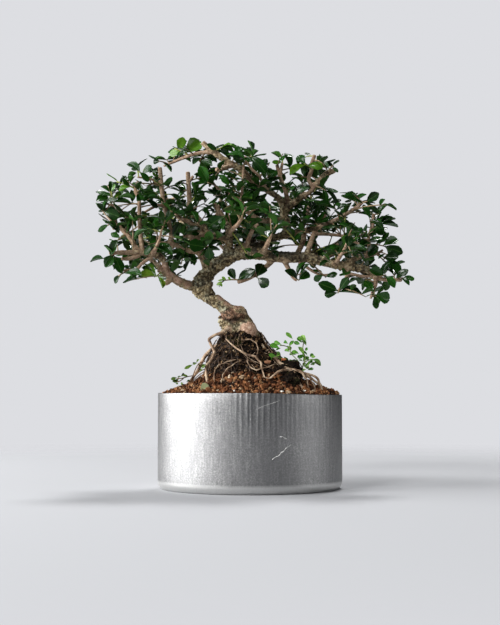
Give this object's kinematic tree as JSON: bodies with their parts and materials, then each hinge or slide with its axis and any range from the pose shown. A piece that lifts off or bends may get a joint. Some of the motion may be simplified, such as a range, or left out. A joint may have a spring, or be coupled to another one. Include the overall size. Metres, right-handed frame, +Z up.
{
  "type": "fukien tea bonsai",
  "caption": "Fukien tea bonsai with a slanting trunk, exposed roots and small glossy leaves, in a plain round aluminium pot of granular soil.",
  "frame": {"origin": "centre of the pot's flat foot, on the surface that the pot stands on", "axes": "+Z up; +X to the right as the tree is seen from its front, the way its long limb sweeps; -Y towards the viewer"},
  "size_m": [0.3484, 0.2134, 0.3883],
  "materials": {
    "aluminium": "raw, finely brushed, streaked by water",
    "red_soil": "matte fired clay granules",
    "dark_peat": "matte peat and fibre",
    "bark": "rough bark with some lichen, smoother on the young wood",
    "leaf": "waxy and glossy",
    "seedling_green": "soft satin",
    "faded_leaf": "dry and matte"
  },
  "bodies": {
    "root": {"fallen_leaf": "faded_leaf", "pot": "aluminium", "root_ball": "dark_peat", "seedling_left": "seedling_green", "seedling_right": "seedling_green", "soil": "red_soil", "spray_apex": "leaf", "spray_apex_under": "leaf", "spray_arch_tip": "leaf", "spray_arch_top": "leaf", "spray_back_centre": "leaf", "spray_back_far_left": "leaf", "spray_back_high_right": "leaf", "spray_back_left": "leaf", "spray_back_right": "leaf", "spray_centre": "leaf", "spray_centre_front": "leaf", "spray_centre_high": "leaf", "spray_centre_low": "leaf", "spray_front_centre": "leaf", "spray_front_far_right": "leaf", "spray_front_left": "leaf", "spray_front_right": "leaf", "spray_hanging_left": "leaf", "spray_hanging_right": "leaf", "spray_high_cut": "leaf", "spray_high_shoot": "leaf", "spray_left_bend": "leaf", "spray_left_fork": "leaf", "spray_left_inner": "leaf", "spray_left_light": "leaf", "spray_left_low": "leaf", "spray_left_point": "leaf", "spray_left_shoot": "leaf", "spray_left_shoulder": "leaf", "spray_left_under": "leaf", "spray_ridge": "leaf", "spray_right_end": "leaf", "spray_right_fork": "leaf", "spray_right_hanging": "leaf", "spray_right_mid": "leaf", "spray_right_tip": "leaf", "spray_right_upright": "leaf", "spray_star_front": "leaf", "spray_star_left": "leaf", "spray_stub_side": "leaf", "spray_stub_tip": "leaf", "spray_tall_stub": "leaf", "spray_top_front": "leaf", "spray_top_middle": "leaf", "spray_under_limb": "leaf", "spray_under_limb_left": "leaf", "spray_under_twig": "leaf", "spray_upright_one": "leaf", "spray_upright_one_low": "leaf", "spray_upright_one_top": "leaf", "spray_upright_two_top": "leaf", "spray_wedge": "leaf", "spray_wedge_under": "leaf", "tree": "bark"}
  },
  "joints": []
}
